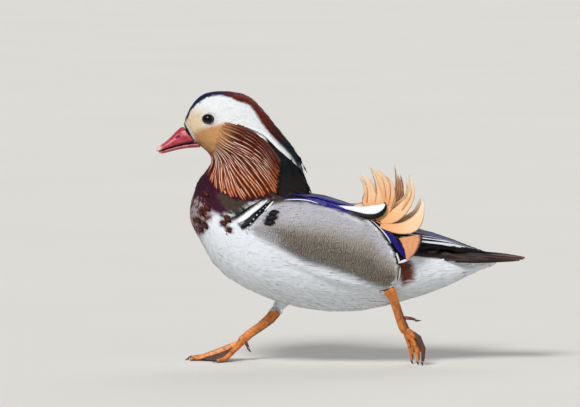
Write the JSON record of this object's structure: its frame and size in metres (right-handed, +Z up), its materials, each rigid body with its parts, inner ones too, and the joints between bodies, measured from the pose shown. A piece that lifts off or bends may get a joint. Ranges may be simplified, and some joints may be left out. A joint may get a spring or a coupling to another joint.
{
  "type": "mandarin duck",
  "caption": "Drake mandarin duck in mid stride, with a crested head, fanned ruff, raised sail feathers, folded wings and webbed feet, standing on its front foot and rear toe tips",
  "frame": {"origin": "on the floor, under the middle of the bounding box", "axes": "+Z is up, the bird faces -X, and its left side is -Y"},
  "size_m": [0.325, 0.1036, 0.2403],
  "materials": {
    "body_plumage": "soft white feathers",
    "neck_plumage": "dark maroon feathers",
    "head_plumage": "short dense feathers",
    "crest_plumage": "long silky feathers",
    "ruff_plumage": "narrow pointed feathers with pale shafts",
    "flank_plumage": "finely barred grey feathers",
    "wing_feathers": "smooth feathers with a blue sheen",
    "sail_feathers": "broad orange vanes with pale edges",
    "tail_feathers": "smooth dark brown feathers",
    "bill": "satin horn",
    "eye": "wet and glossy",
    "leg_skin": "scaly skin, satin",
    "claw": "smooth horn"
  },
  "bodies": {
    "root": {"trunk": "body_plumage", "neck": "neck_plumage", "head": "head_plumage", "crest": "crest_plumage", "bill_upper": "bill", "bill_lower": "bill", "tail": "tail_feathers", "eye_left": "eye", "ruff_left": "ruff_plumage", "flank_left": "flank_plumage", "wing_left": "wing_feathers", "wing_tip_left": "wing_feathers", "thigh_left": "body_plumage", "shank_left": "leg_skin", "foot_left": "leg_skin", "hind_toe_left": "leg_skin", "claw_left_inner": "claw", "claw_left_middle": "claw", "claw_left_outer": "claw", "claw_left_hind": "claw", "eye_right": "eye", "ruff_right": "ruff_plumage", "flank_right": "flank_plumage", "wing_right": "wing_feathers", "wing_tip_right": "wing_feathers", "thigh_right": "body_plumage", "shank_right": "leg_skin", "foot_right": "leg_skin", "hind_toe_right": "leg_skin", "claw_right_inner": "claw", "claw_right_middle": "claw", "claw_right_outer": "claw", "claw_right_hind": "claw", "sail_left": "sail_feathers", "sail_right": "sail_feathers"}
  },
  "joints": []
}
